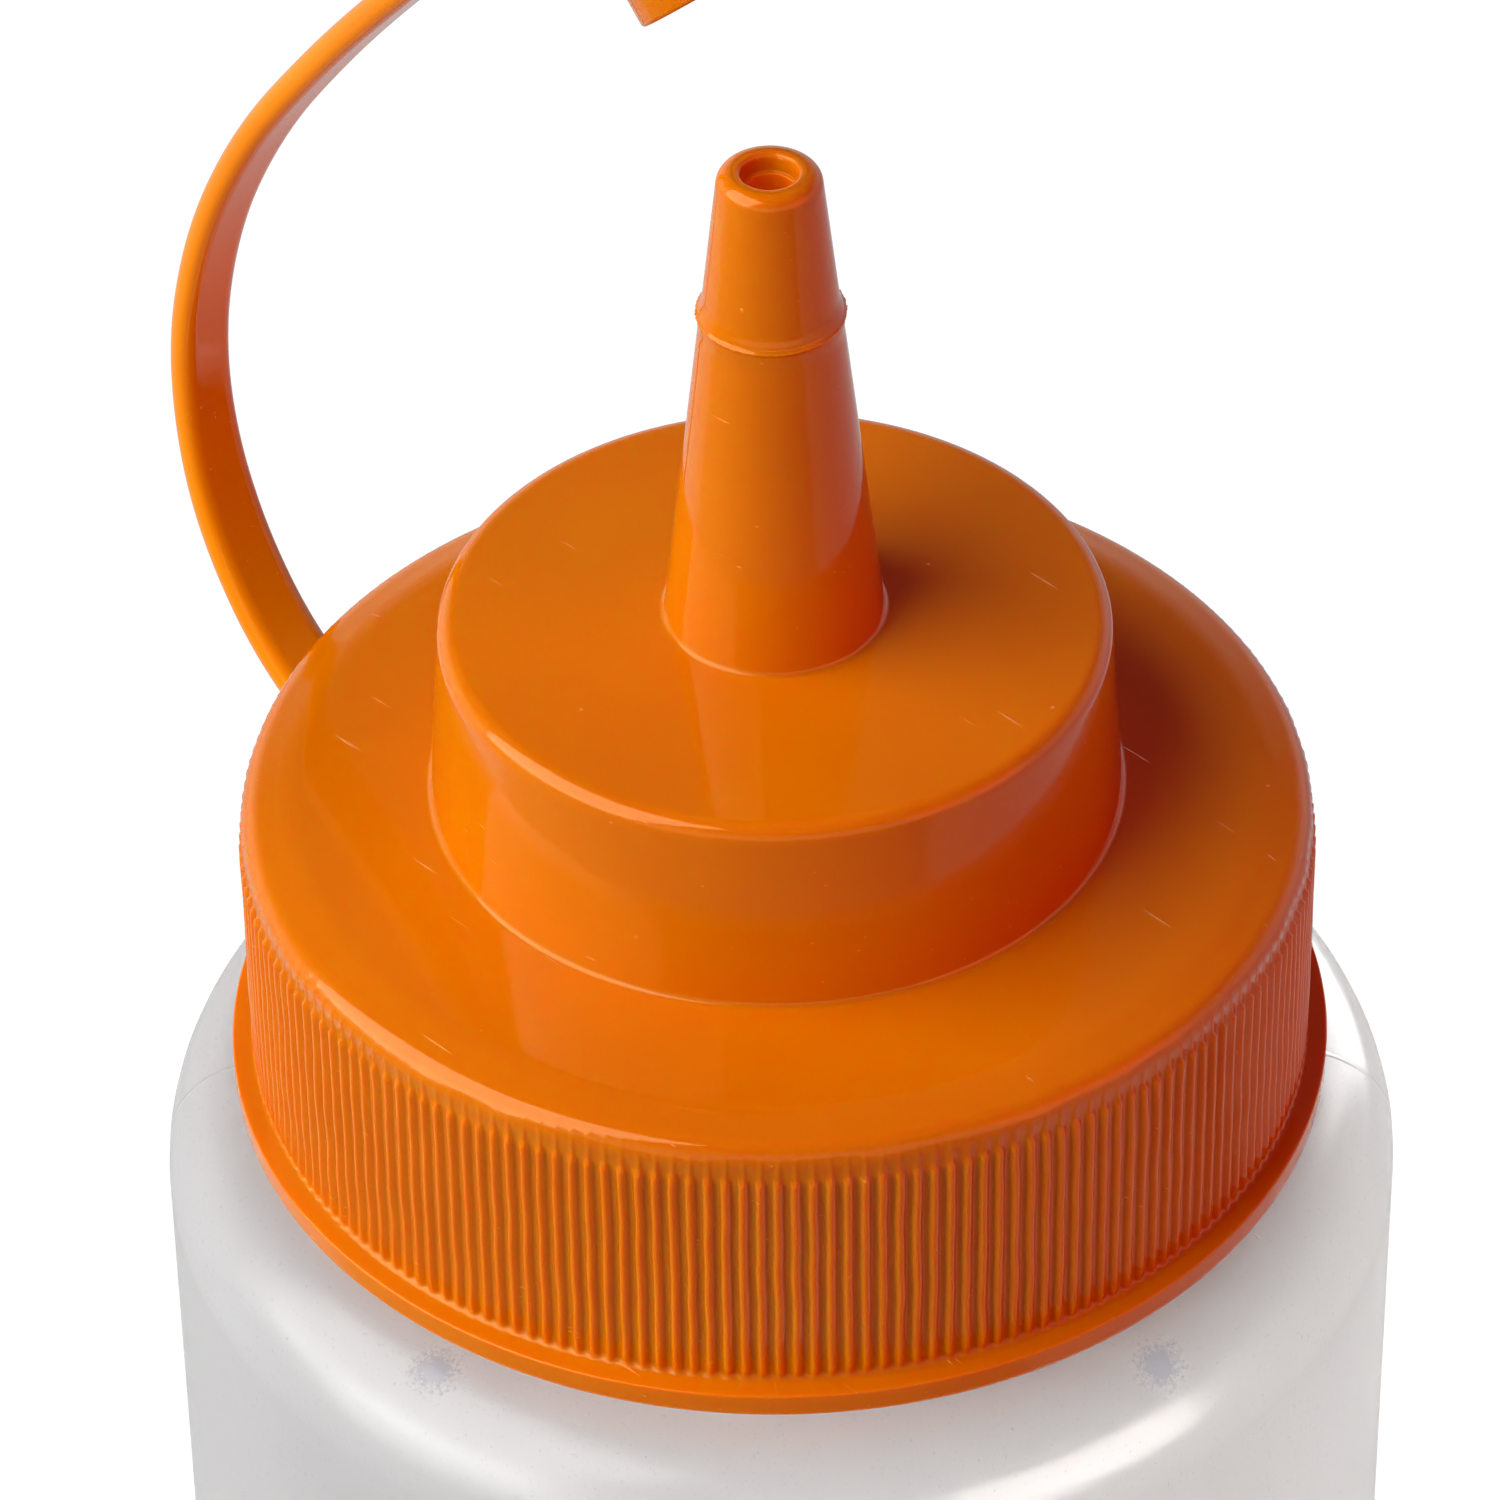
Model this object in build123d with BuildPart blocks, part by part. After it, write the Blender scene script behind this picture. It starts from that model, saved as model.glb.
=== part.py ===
"""Squeeze sauce bottle with a screw lid, a long nozzle and a tip cap on a flexible strap.

Millimetres, +Z up, origin at the centre of the bottle's base. The strap lies in the XZ plane, on the -X side.
"""

from build123d import *
import os
from math import cos, pi, radians, sin
from typing import NamedTuple

# ---------------------------------------------------------------- driving dimensions
# Bottle: blown body with a straight wall, rounded shoulder and threaded neck
BODY_RADIUS = 41.1
BODY_WALL = 1.0
BASE_ROUND = 6.0
BASE_FOOT_WIDTH = 4.1
BASE_GROOVE_WIDTH = 7.0
BASE_GROOVE_DEPTH = 0.8
SHOULDER_HEIGHT = 188.0
SHOULDER_LAND = 1.7
NECK_RADIUS = 31.3
NECK_HEIGHT = 21.4
NECK_WALL = 2.0
NECK_ROOT_ROUND = 1.0

# Screw thread shared by the neck and the lid
THREAD_PITCH = 4.2
THREAD_TURNS = 1.5
THREAD_DEPTH = 1.3
THREAD_ROOT_WIDTH = 2.0
THREAD_CREST_WIDTH = 0.9
THREAD_SINK = 0.3
THREAD_BELOW_LIP = 3.0
THREAD_RADIAL_GAP = 0.4
THREAD_FLANK_GAP = 0.3

# Sealing ring between the lip and the lid
SEAL_THICKNESS = 1.0
SEAL_SIDE_GAP = 0.3

# Lid: ribbed skirt, ring plate, raised plateau
LID_PLATE = 2.0
PLATE_FALL = 1.15
PLATE_ROLL_WIDTH = 3.1
PLATE_ROLL_DROP = 0.35
PLATE_ROLL_ROUND = 6.0
PLATE_EDGE_ROUND = 1.5
SKIRT_WALL = 1.65
SKIRT_TO_SHOULDER = 2.1
FLANGE_OVERHANG = 1.65
FLANGE_HEIGHT = 1.8
RIB_COUNT = 200
RIB_DEPTH = 0.35
RIB_ROOT_WIDTH = 0.62
RIB_CREST_WIDTH = 0.34
RIB_TOP_BELOW_PLATE = 3.2
RIB_RUN_IN = 2.8
RIB_BAND_DEPTH = 0.4
PLUG_HEIGHT = 3.3
PLUG_WALL = 1.2
PLUG_GAP = 0.3
PLATEAU_RADIUS = 22.4
PLATEAU_HEIGHT = 13.65
PLATEAU_DRAFT = 0.0667
PLATEAU_CROWN = 0.5
PLATEAU_EDGE_ROUND = 1.15
PLATEAU_WALL = 1.7
SMALL_ROUND = 0.4

# Nozzle: long cone with a bead below the tip and a stepped orifice
NOZZLE_LENGTH = 34.25
NOZZLE_BASE_RADIUS = 6.95
NOZZLE_TIP_RADIUS = 3.114
NOZZLE_WALL = 1.35
TIP_WALL = 1.064
TIP_ROUND = 0.6
ORIFICE_ROUND = 0.3
BEAD_BELOW_TIP = 10.3
BEAD_PROUD = 0.4
BEAD_WIDTH = 1.9
ORIFICE_DEPTH = 1.7
THROAT_RADIUS = 1.35
THROAT_LENGTH = 1.2
THROAT_FLARE = 2.0

# Strap: flat band from the flange to the tip cap, bent to its rest shape
STRAP_WIDTH = 4.0
STRAP_THICKNESS = 2.0
STRAP_EDGE_ROUND = 0.3
STRAP_GAP = 0.3
STRAP_ROOT_LENGTH = 4.0
STRAP_ROOT_TURN = 18.3
STRAP_LINK_LENGTH = 12.4
STRAP_LINK_TURNS = (35.9, 26.0, 21.4, 14.9, 10.6, 4.2, 2.4, 2.4)
STRAP_TAIL_LENGTH = 6.0
STRAP_TAIL_TURN = 1.2

# Tip cap: a small cup that seats on the nozzle's bead
CAP_FIT_GAP = 0.15
CAP_END_GAP = 0.4
CAP_WALL = 1.1
CAP_END_WALL = 1.4
CAP_TAPER = 0.045
CAP_ROUND = 0.6
CAP_RIM_ROUND = 0.2

# ---------------------------------------------------------------- derived levels and radii
LIP_LEVEL = SHOULDER_HEIGHT + NECK_HEIGHT
LID_UNDERSIDE = LIP_LEVEL + SEAL_THICKNESS
LID_FACE = LID_UNDERSIDE + LID_PLATE
SKIRT_BOTTOM = SHOULDER_HEIGHT + SKIRT_TO_SHOULDER
FLANGE_TOP = SKIRT_BOTTOM + FLANGE_HEIGHT

BASE_GROOVE_OUTER = BODY_RADIUS - BASE_ROUND - BASE_FOOT_WIDTH
BASE_GROOVE_INNER = BASE_GROOVE_OUTER - BASE_GROOVE_WIDTH
SHOULDER_ROUND = BODY_RADIUS - NECK_RADIUS - NECK_ROOT_ROUND - SHOULDER_LAND
NECK_BORE_RADIUS = NECK_RADIUS - NECK_WALL
SKIRT_BORE_RADIUS = NECK_RADIUS + THREAD_DEPTH + THREAD_RADIAL_GAP
SKIRT_RADIUS = SKIRT_BORE_RADIUS + SKIRT_WALL
FLANGE_RADIUS = SKIRT_RADIUS + FLANGE_OVERHANG
PLUG_RADIUS = NECK_BORE_RADIUS - PLUG_GAP

PLATEAU_TOP = LID_FACE + PLATEAU_HEIGHT
NOZZLE_FOOT = PLATEAU_TOP + PLATEAU_CROWN
NOZZLE_TIP = NOZZLE_FOOT + NOZZLE_LENGTH
BEAD_LEVEL = NOZZLE_TIP - BEAD_BELOW_TIP
BEAD_TOP = BEAD_LEVEL + BEAD_WIDTH / 2
NOZZLE_TAPER = (NOZZLE_BASE_RADIUS - NOZZLE_TIP_RADIUS) / NOZZLE_LENGTH
ORIFICE_RADIUS = NOZZLE_TIP_RADIUS - TIP_WALL

CAP_DEPTH = NOZZLE_TIP - BEAD_TOP + CAP_END_GAP
CAP_HEIGHT = CAP_DEPTH + CAP_END_WALL


def nozzle_radius(level: float) -> float:
    """Outer radius of the nozzle's cone at a height."""
    return NOZZLE_BASE_RADIUS - NOZZLE_TAPER * (level - NOZZLE_FOOT)


CAP_MOUTH_RADIUS = nozzle_radius(BEAD_TOP) + CAP_FIT_GAP
CAP_END_RADIUS = CAP_MOUTH_RADIUS - CAP_TAPER * CAP_DEPTH
CAP_RADIUS = CAP_MOUTH_RADIUS + CAP_WALL


# ---------------------------------------------------------------- strap centreline
class Station(NamedTuple):
    """A point on the strap's centreline: distance out from the axis, height, and heading in degrees."""

    out: float
    level: float
    heading: float


def along(start: Station, length: float, turn: float) -> Station:
    """Follow an arc of a length and a turn (degrees, towards the axis) from a station."""
    half_turn = radians(turn) / 2
    chord = length * sin(half_turn) / half_turn if turn else length
    direction = radians(start.heading) + half_turn
    return Station(
        start.out + chord * cos(direction),
        start.level + chord * sin(direction),
        start.heading + turn,
    )


def part_of(start: Station, length: float, turn: float, share: float) -> Station:
    """The station at a share of the way along an arc."""
    return along(start, length * share, turn * share)


def side_point(station: Station, offset: float) -> tuple[float, float]:
    """A point in the strap's plane, offset to the left of the heading."""
    normal = radians(station.heading + 90)
    return (-(station.out + offset * cos(normal)), station.level + offset * sin(normal))


STRAP_PLANE = Plane(origin=(0, 0, 0), x_dir=(1, 0, 0), z_dir=(0, -1, 0))
STRAP_START = Station(FLANGE_RADIUS, SKIRT_BOTTOM + FLANGE_HEIGHT / 2, 0.0)
LINK_STARTS = [along(STRAP_START, STRAP_ROOT_LENGTH, STRAP_ROOT_TURN)]
for link_turn in STRAP_LINK_TURNS:
    LINK_STARTS.append(along(LINK_STARTS[-1], STRAP_LINK_LENGTH, link_turn))
TAIL_START = LINK_STARTS.pop()
TAIL_END = along(TAIL_START, STRAP_TAIL_LENGTH, STRAP_TAIL_TURN)


def strap_stretch(start: Station, length: float, turn: float, trim_start: float, trim_end: float) -> Part:
    """One stretch of strap as a solid band, trimmed at each end by a length."""
    first = trim_start / length
    last = 1 - trim_end / length
    stations = [part_of(start, length, turn, share) for share in (first, (first + last) / 2, last)]
    inner = [side_point(station, STRAP_THICKNESS / 2) for station in stations]
    outer = [side_point(station, -STRAP_THICKNESS / 2) for station in stations]
    with BuildPart() as band:
        with BuildSketch(STRAP_PLANE):
            with BuildLine():
                ThreePointArc(*inner)
                Line(inner[2], outer[2])
                ThreePointArc(*outer)
                Line(outer[0], inner[0])
            make_face()
        extrude(amount=STRAP_WIDTH / 2, both=True)
        fillet(band.edges().filter_by(GeomType.CIRCLE), STRAP_EDGE_ROUND)
    return band.part


# ---------------------------------------------------------------- turned shapes
def turned(corners: list[tuple[float, float, float]], plane: Plane = Plane.XZ, axis: Axis = Axis.Z) -> Part:
    """Turn a closed outline about an axis. Each corner is its radius, its height and its rounding."""
    with BuildPart() as body:
        with BuildSketch(plane):
            with BuildLine():
                FilletPolyline(
                    *[(radius, level) for radius, level, rounding in corners],
                    radius=[rounding for radius, level, rounding in corners],
                    close=True,
                )
            make_face()
        revolve(axis=axis)
    return body.part


# ---------------------------------------------------------------- screw thread
def make_thread(root_radius: float, start_level: float, outward: int) -> Part:
    """A helical ridge that starts above +X and climbs for the thread's turns.

    Its trapezoid section has its root sunk in the wall, and its crest outward (1) or inward (-1) of it.
    """
    root = -outward * THREAD_SINK
    crest = outward * THREAD_DEPTH
    with BuildPart() as ridge:
        with BuildLine() as path:
            Helix(THREAD_PITCH, THREAD_PITCH * THREAD_TURNS, root_radius, center=(0, 0, start_level))
        with BuildSketch(Plane(origin=path.line @ 0, x_dir=(1, 0, 0), z_dir=path.line % 0)):
            Polygon(
                (root, -THREAD_ROOT_WIDTH / 2),
                (crest, -THREAD_CREST_WIDTH / 2),
                (crest, THREAD_CREST_WIDTH / 2),
                (root, THREAD_ROOT_WIDTH / 2),
            )
        sweep(path=path.line, is_frenet=True)
    return ridge.part


NECK_THREAD_START = LIP_LEVEL - THREAD_BELOW_LIP - THREAD_PITCH * THREAD_TURNS
FLANK_REACH = (THREAD_ROOT_WIDTH + THREAD_CREST_WIDTH) / 2 + THREAD_FLANK_GAP
LID_THREAD_START = NECK_THREAD_START - FLANK_REACH

# ---------------------------------------------------------------- bottle
BASE_INSIDE = BASE_GROOVE_DEPTH + BODY_WALL
SHOULDER_INSIDE = SHOULDER_HEIGHT - BODY_WALL
BODY_BORE_RADIUS = BODY_RADIUS - BODY_WALL

with BuildPart() as bottle:
    add(
        turned(
            [
                (0, 0, 0),
                (BASE_GROOVE_INNER, 0, 0),
                (BASE_GROOVE_INNER + BASE_GROOVE_DEPTH, BASE_GROOVE_DEPTH, 0),
                (BASE_GROOVE_OUTER - BASE_GROOVE_DEPTH, BASE_GROOVE_DEPTH, 0),
                (BASE_GROOVE_OUTER, 0, 0),
                (BODY_RADIUS, 0, BASE_ROUND),
                (BODY_RADIUS, SHOULDER_HEIGHT, SHOULDER_ROUND),
                (NECK_RADIUS, SHOULDER_HEIGHT, NECK_ROOT_ROUND),
                (NECK_RADIUS, LIP_LEVEL, SMALL_ROUND),
                (NECK_BORE_RADIUS, LIP_LEVEL, SMALL_ROUND),
                (NECK_BORE_RADIUS, SHOULDER_INSIDE, 0),
                (BODY_BORE_RADIUS, SHOULDER_INSIDE, SHOULDER_ROUND - BODY_WALL),
                (BODY_BORE_RADIUS, BASE_INSIDE, BASE_ROUND - BODY_WALL),
                (0, BASE_INSIDE, 0),
            ]
        )
    )
    add(make_thread(NECK_RADIUS, NECK_THREAD_START, 1))
bottle.part.label = "bottle"

# ---------------------------------------------------------------- sealing ring
with BuildPart() as seal_ring:
    with BuildSketch(Plane.XY.offset(LIP_LEVEL)):
        Circle(SKIRT_BORE_RADIUS - SEAL_SIDE_GAP)
        Circle(PLUG_RADIUS + SEAL_SIDE_GAP, mode=Mode.SUBTRACT)
    extrude(amount=SEAL_THICKNESS)
seal_ring.part.label = "seal_ring"

# ---------------------------------------------------------------- lid
RIB_TOP = LID_FACE - RIB_TOP_BELOW_PLATE
RIB_BAND_RADIUS = SKIRT_RADIUS - RIB_BAND_DEPTH
PLATEAU_TOP_RADIUS = PLATEAU_RADIUS - PLATEAU_DRAFT * PLATEAU_HEIGHT
PLATEAU_UNDERSIDE = PLATEAU_TOP - PLATEAU_WALL
BEAD_BOTTOM = BEAD_LEVEL - BEAD_WIDTH / 2
THROAT_TOP = NOZZLE_TIP - ORIFICE_DEPTH
THROAT_BOTTOM = THROAT_TOP - THROAT_LENGTH
FLARE_BOTTOM = THROAT_BOTTOM - THROAT_FLARE
PLUG_BOTTOM = LID_UNDERSIDE - PLUG_HEIGHT


def rib_outline() -> list[tuple[float, float]]:
    """The skirt's outline with its ribs, as corner points around the axis."""
    corners = []
    for rib in range(RIB_COUNT):
        middle = 2 * pi * rib / RIB_COUNT
        for radius, side in (
            (SKIRT_RADIUS, -RIB_ROOT_WIDTH / 2),
            (SKIRT_RADIUS + RIB_DEPTH, -RIB_CREST_WIDTH / 2),
            (SKIRT_RADIUS + RIB_DEPTH, RIB_CREST_WIDTH / 2),
            (SKIRT_RADIUS, RIB_ROOT_WIDTH / 2),
        ):
            angle = middle + side / radius
            corners.append((radius * cos(angle), radius * sin(angle)))
    return corners


# The ribs stand on a sleeve that fills a band turned into the skirt, and run out into it at their tops
with BuildPart() as rib_sleeve:
    with BuildSketch(Plane.XY.offset(FLANGE_TOP - RIB_BAND_DEPTH)):
        Polygon(*rib_outline())
        Circle(SKIRT_RADIUS - 2 * RIB_BAND_DEPTH, mode=Mode.SUBTRACT)
    extrude(amount=RIB_TOP - FLANGE_TOP + RIB_BAND_DEPTH)
    with BuildSketch(Plane.XZ):
        Polygon(
            (SKIRT_RADIUS, RIB_TOP),
            (SKIRT_RADIUS + RIB_DEPTH, RIB_TOP - RIB_RUN_IN),
            (SKIRT_RADIUS + 2 * RIB_DEPTH, RIB_TOP - RIB_RUN_IN),
            (SKIRT_RADIUS + 2 * RIB_DEPTH, RIB_TOP + RIB_DEPTH),
            (SKIRT_RADIUS, RIB_TOP + RIB_DEPTH),
        )
    revolve(axis=Axis.Z, mode=Mode.SUBTRACT)

with BuildPart() as lid:
    add(
        turned(
            [
                (SKIRT_BORE_RADIUS, SKIRT_BOTTOM, SMALL_ROUND),
                (FLANGE_RADIUS, SKIRT_BOTTOM, SMALL_ROUND),
                (FLANGE_RADIUS, FLANGE_TOP, SMALL_ROUND),
                (RIB_BAND_RADIUS, FLANGE_TOP, 0),
                (RIB_BAND_RADIUS, RIB_TOP, 0),
                (SKIRT_RADIUS, RIB_TOP, 0),
                (SKIRT_RADIUS + RIB_DEPTH / 2, LID_FACE - PLATE_FALL, PLATE_EDGE_ROUND),
                (SKIRT_RADIUS - PLATE_ROLL_WIDTH, LID_FACE - PLATE_ROLL_DROP, PLATE_ROLL_ROUND),
                (PLATEAU_RADIUS, LID_FACE, SMALL_ROUND),
                (PLATEAU_TOP_RADIUS, PLATEAU_TOP, PLATEAU_EDGE_ROUND),
                (NOZZLE_BASE_RADIUS, NOZZLE_FOOT, SMALL_ROUND),
                (nozzle_radius(BEAD_BOTTOM), BEAD_BOTTOM, 0),
                (nozzle_radius(BEAD_LEVEL) + BEAD_PROUD, BEAD_LEVEL, SMALL_ROUND),
                (nozzle_radius(BEAD_TOP), BEAD_TOP, 0),
                (NOZZLE_TIP_RADIUS, NOZZLE_TIP, TIP_ROUND),
                (ORIFICE_RADIUS, NOZZLE_TIP, ORIFICE_ROUND),
                (ORIFICE_RADIUS, THROAT_TOP, 0),
                (THROAT_RADIUS, THROAT_TOP, 0),
                (THROAT_RADIUS, THROAT_BOTTOM, 0),
                (nozzle_radius(FLARE_BOTTOM) - NOZZLE_WALL, FLARE_BOTTOM, 0),
                (NOZZLE_BASE_RADIUS - NOZZLE_WALL, PLATEAU_UNDERSIDE, SMALL_ROUND),
                (PLATEAU_TOP_RADIUS - PLATEAU_WALL, PLATEAU_UNDERSIDE, SMALL_ROUND),
                (PLATEAU_RADIUS - PLATEAU_WALL, LID_UNDERSIDE, SMALL_ROUND),
                (PLUG_RADIUS - PLUG_WALL, LID_UNDERSIDE, 0),
                (PLUG_RADIUS - PLUG_WALL, PLUG_BOTTOM, SMALL_ROUND),
                (PLUG_RADIUS, PLUG_BOTTOM, SMALL_ROUND),
                (PLUG_RADIUS, LID_UNDERSIDE, 0),
                (SKIRT_BORE_RADIUS, LID_UNDERSIDE, 0),
            ]
        )
    )
    add(rib_sleeve.part)
    add(make_thread(SKIRT_BORE_RADIUS, LID_THREAD_START, -1))
    # The strap grows out of the flange: a pad joins its root to the rim
    with BuildSketch(Plane.YZ.offset(-FLANGE_RADIUS)):
        with Locations((0, STRAP_START.level)):
            Rectangle(STRAP_WIDTH, STRAP_THICKNESS)
    extrude(amount=FLANGE_OVERHANG)
    add(strap_stretch(STRAP_START, STRAP_ROOT_LENGTH, STRAP_ROOT_TURN, 0, STRAP_GAP / 2))
lid.part.label = "lid"

# ---------------------------------------------------------------- strap links
strap_links = []
for number, (start, turn) in enumerate(zip(LINK_STARTS, STRAP_LINK_TURNS), start=1):
    link = strap_stretch(start, STRAP_LINK_LENGTH, turn, STRAP_GAP / 2, STRAP_GAP / 2)
    link.label = f"strap_link_{number}"
    strap_links.append(link)

# ---------------------------------------------------------------- tip cap
CAP_CENTRE = along(TAIL_END, CAP_RADIUS, 0)
CAP_HEADING = radians(TAIL_END.heading)
CAP_REACH = Vector(-cos(CAP_HEADING), 0, sin(CAP_HEADING))
CAP_UP = Vector(-sin(CAP_HEADING), 0, -cos(CAP_HEADING))
CAP_STRAP_HEIGHT = CAP_HEIGHT - STRAP_THICKNESS / 2
CAP_MOUTH = Vector(-CAP_CENTRE.out, 0, CAP_CENTRE.level) - CAP_UP * CAP_STRAP_HEIGHT
CAP_SECTION = Plane(origin=CAP_MOUTH, x_dir=CAP_REACH, z_dir=(0, -1, 0))
CAP_AXIS = Axis(CAP_MOUTH, CAP_UP)

with BuildPart() as tip_cap:
    add(strap_stretch(TAIL_START, STRAP_TAIL_LENGTH, STRAP_TAIL_TURN, STRAP_GAP / 2, 0))
    # The strap runs on into the cup's end wall
    with BuildSketch(CAP_SECTION):
        with Locations((-CAP_RADIUS / 2, CAP_STRAP_HEIGHT)):
            Rectangle(CAP_RADIUS, STRAP_THICKNESS)
    extrude(amount=STRAP_WIDTH / 2, both=True)
    add(
        turned(
            [
                (0, CAP_HEIGHT, 0),
                (CAP_RADIUS, CAP_HEIGHT, CAP_ROUND),
                (CAP_RADIUS, 0, CAP_RIM_ROUND),
                (0, 0, 0),
            ],
            CAP_SECTION,
            CAP_AXIS,
        )
    )
    with BuildSketch(CAP_SECTION):
        Polygon(
            (0, 0),
            (CAP_MOUTH_RADIUS, 0),
            (CAP_END_RADIUS, CAP_DEPTH),
            (0, CAP_DEPTH),
        )
    revolve(axis=CAP_AXIS, mode=Mode.SUBTRACT)
tip_cap.part.label = "tip_cap"

# ---------------------------------------------------------------- files
os.makedirs("parts", exist_ok=True)
pieces = [bottle.part, seal_ring.part, lid.part, *strap_links, tip_cap.part]
for piece in pieces:
    export_step(piece, f"parts/{piece.label}.step")
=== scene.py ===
"""Squeeze sauce bottle with a ribbed screw lid, a long nozzle and a tip cap on a moulded strap."""

import logging
import math
from collections.abc import Callable, Sequence
from dataclasses import dataclass, field
from enum import Enum

import bmesh
import bpy
from mathutils import Matrix, Vector


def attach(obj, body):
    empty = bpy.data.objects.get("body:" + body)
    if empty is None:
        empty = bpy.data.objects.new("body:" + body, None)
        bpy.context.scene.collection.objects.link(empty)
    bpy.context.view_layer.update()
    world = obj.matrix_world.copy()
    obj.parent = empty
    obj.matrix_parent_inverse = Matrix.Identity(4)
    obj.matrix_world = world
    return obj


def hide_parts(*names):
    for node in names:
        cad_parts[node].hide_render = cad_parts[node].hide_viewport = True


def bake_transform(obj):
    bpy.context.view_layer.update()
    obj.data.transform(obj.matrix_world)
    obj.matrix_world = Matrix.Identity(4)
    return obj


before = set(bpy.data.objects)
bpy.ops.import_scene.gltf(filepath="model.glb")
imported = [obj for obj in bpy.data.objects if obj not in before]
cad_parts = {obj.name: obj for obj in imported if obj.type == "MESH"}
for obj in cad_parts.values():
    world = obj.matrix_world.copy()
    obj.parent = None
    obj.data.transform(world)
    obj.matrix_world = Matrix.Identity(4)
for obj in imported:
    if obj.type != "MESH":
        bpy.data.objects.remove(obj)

Piece = bpy.types.Object
Material = bpy.types.Material
Socket = bpy.types.NodeSocket
Inputs = dict[str | int, object]
Pair = tuple[float, float]
Triple = tuple[float, float, float]

LOG = logging.getLogger("sauce_bottle")
MM = 0.001
WHITE = "#FFFFFF"
# A point within this distance of a place, in metres, is picked there, and within a tenth of it is merged
HERE = 1e-5
# An outline's turns below this many radians aren't rounded, and its points closer than this in mm are one
LEAST_TURN = 0.01
LEAST_STEP = 0.02
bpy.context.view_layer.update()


class Slot(Enum):
    """The record's material slots."""

    BODY = "translucent_bottle"
    ORANGE = "orange_plastic"
    SEAL = "seal"


class ThreadSide(Enum):
    """The side of a wall that a thread stands on, as the sign of its depth."""

    OUTSIDE = 1
    INSIDE = -1


# ------------------------------------------------------------------ lines and turned shapes
@dataclass(frozen=True)
class Corner:
    """A corner of an outline in millimetres: distance out, height, and the radius of its rounding."""

    out: float
    up: float
    rounding: float = 0.0


def rounded(
    corners: Sequence[Corner],
    closed: bool = False,
    step: float = 11.0,
    support: float = 0.25,
) -> list[Pair]:
    """Work out the points of a line whose corners are rounded by arcs.

    Args:
        corners: The corners in order.
        closed: Whether the last corner joins the first.
        step: The largest turn between two points of an arc, in degrees.
        support: Distance of an extra point beside each arc, in millimetres, so that flat faces shade flat.

    Returns:
        The points, as distance out and height in millimetres.
    """
    points: list[Vector] = []
    count = len(corners)
    for index, corner in enumerate(corners):
        here = Vector((corner.out, corner.up))
        if not closed and index in (0, count - 1):
            points.append(here)
            continue
        before = corners[index - 1]
        after = corners[(index + 1) % count]
        back = Vector((before.out, before.up)) - here
        ahead = Vector((after.out, after.up)) - here
        turn = math.pi - back.angle(ahead)
        if corner.rounding == 0 or turn < LEAST_TURN:
            points.append(here)
            continue
        way_back, way_ahead = back.normalized(), ahead.normalized()
        reach = corner.rounding * math.tan(turn / 2)
        entry, leave = here + way_back * reach, here + way_ahead * reach
        middle = here + (way_back + way_ahead).normalized() * (corner.rounding / math.cos(turn / 2))
        room = reach + 3 * support
        if back.length > room:
            points.append(here + way_back * (reach + support))
        steps = max(2, math.ceil(math.degrees(turn) / step))
        sign = 1 if (entry - middle).cross(leave - middle) > 0 else -1
        for part in range(steps + 1):
            points.append(middle + Matrix.Rotation(sign * turn * part / steps, 2) @ (entry - middle))
        if ahead.length > room:
            points.append(here + way_ahead * (reach + support))
    kept = [points[0]]
    for point in points[1:]:
        if (point - kept[-1]).length > LEAST_STEP:
            kept.append(point)
    if closed and (kept[0] - kept[-1]).length < LEAST_STEP:
        kept.pop()
    return [(point.x, point.y) for point in kept]


def between(table: Sequence[Pair], place: float) -> float:
    """Read a value from a table of places and values, evenly between its entries.

    Args:
        table: Pairs of place and value, in rising order of place.
        place: The place that is looked up.

    Returns:
        The value there, or zero outside the table.
    """
    for (low, start), (high, end) in zip(table, table[1:]):
        if low <= place <= high:
            return start + (end - start) * (place - low) / (high - low)
    return 0.0


def upright(outline: Sequence[Pair]) -> list[Vector]:
    """Stand an outline in millimetres on the X axis, in metres."""
    return [Vector((out, 0, up)) * MM for out, up in outline]


def extrude(way: Vector) -> None:
    """Extrude what is selected."""
    bpy.ops.mesh.extrude_region_move(TRANSFORM_OT_translate={"value": way})


def merge_all() -> None:
    """Select everything and merge the points that share a place."""
    bpy.ops.mesh.select_all(action="SELECT")
    bpy.ops.mesh.remove_doubles(threshold=HERE / 10)


def resize(scale: Triple, centre: Vector | Triple) -> None:
    """Scale what is selected about a centre."""
    bpy.ops.transform.resize(value=scale, center_override=centre)


def coat(piece: Piece, finish: Material) -> None:
    """Give a piece one material."""
    piece.data.materials.clear()
    piece.data.materials.append(finish)


def draw_line(name: str, points: Sequence[Vector], closed: bool = False) -> Piece:
    """Draw a line in edit mode, from a small plane merged to one vertex that is extruded from point to point.

    Args:
        name: The new object's name.
        points: The points in metres.
        closed: Whether the line returns to its first point.

    Returns:
        The object, in edit mode, with the whole line selected.
    """
    bpy.ops.object.select_all(action="DESELECT")
    bpy.ops.mesh.primitive_plane_add(size=MM, location=points[0])
    piece = bpy.context.object
    piece.name = name
    bpy.ops.object.transform_apply(location=True, rotation=True, scale=True)
    bpy.ops.object.mode_set(mode="EDIT")
    bpy.ops.mesh.select_mode(type="VERT")
    bpy.ops.mesh.select_all(action="SELECT")
    bpy.ops.mesh.merge(type="CENTER")
    route = [*points, points[0]] if closed else list(points)
    for here, there in zip(route, route[1:]):
        extrude(there - here)
    merge_all()
    return piece


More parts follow.
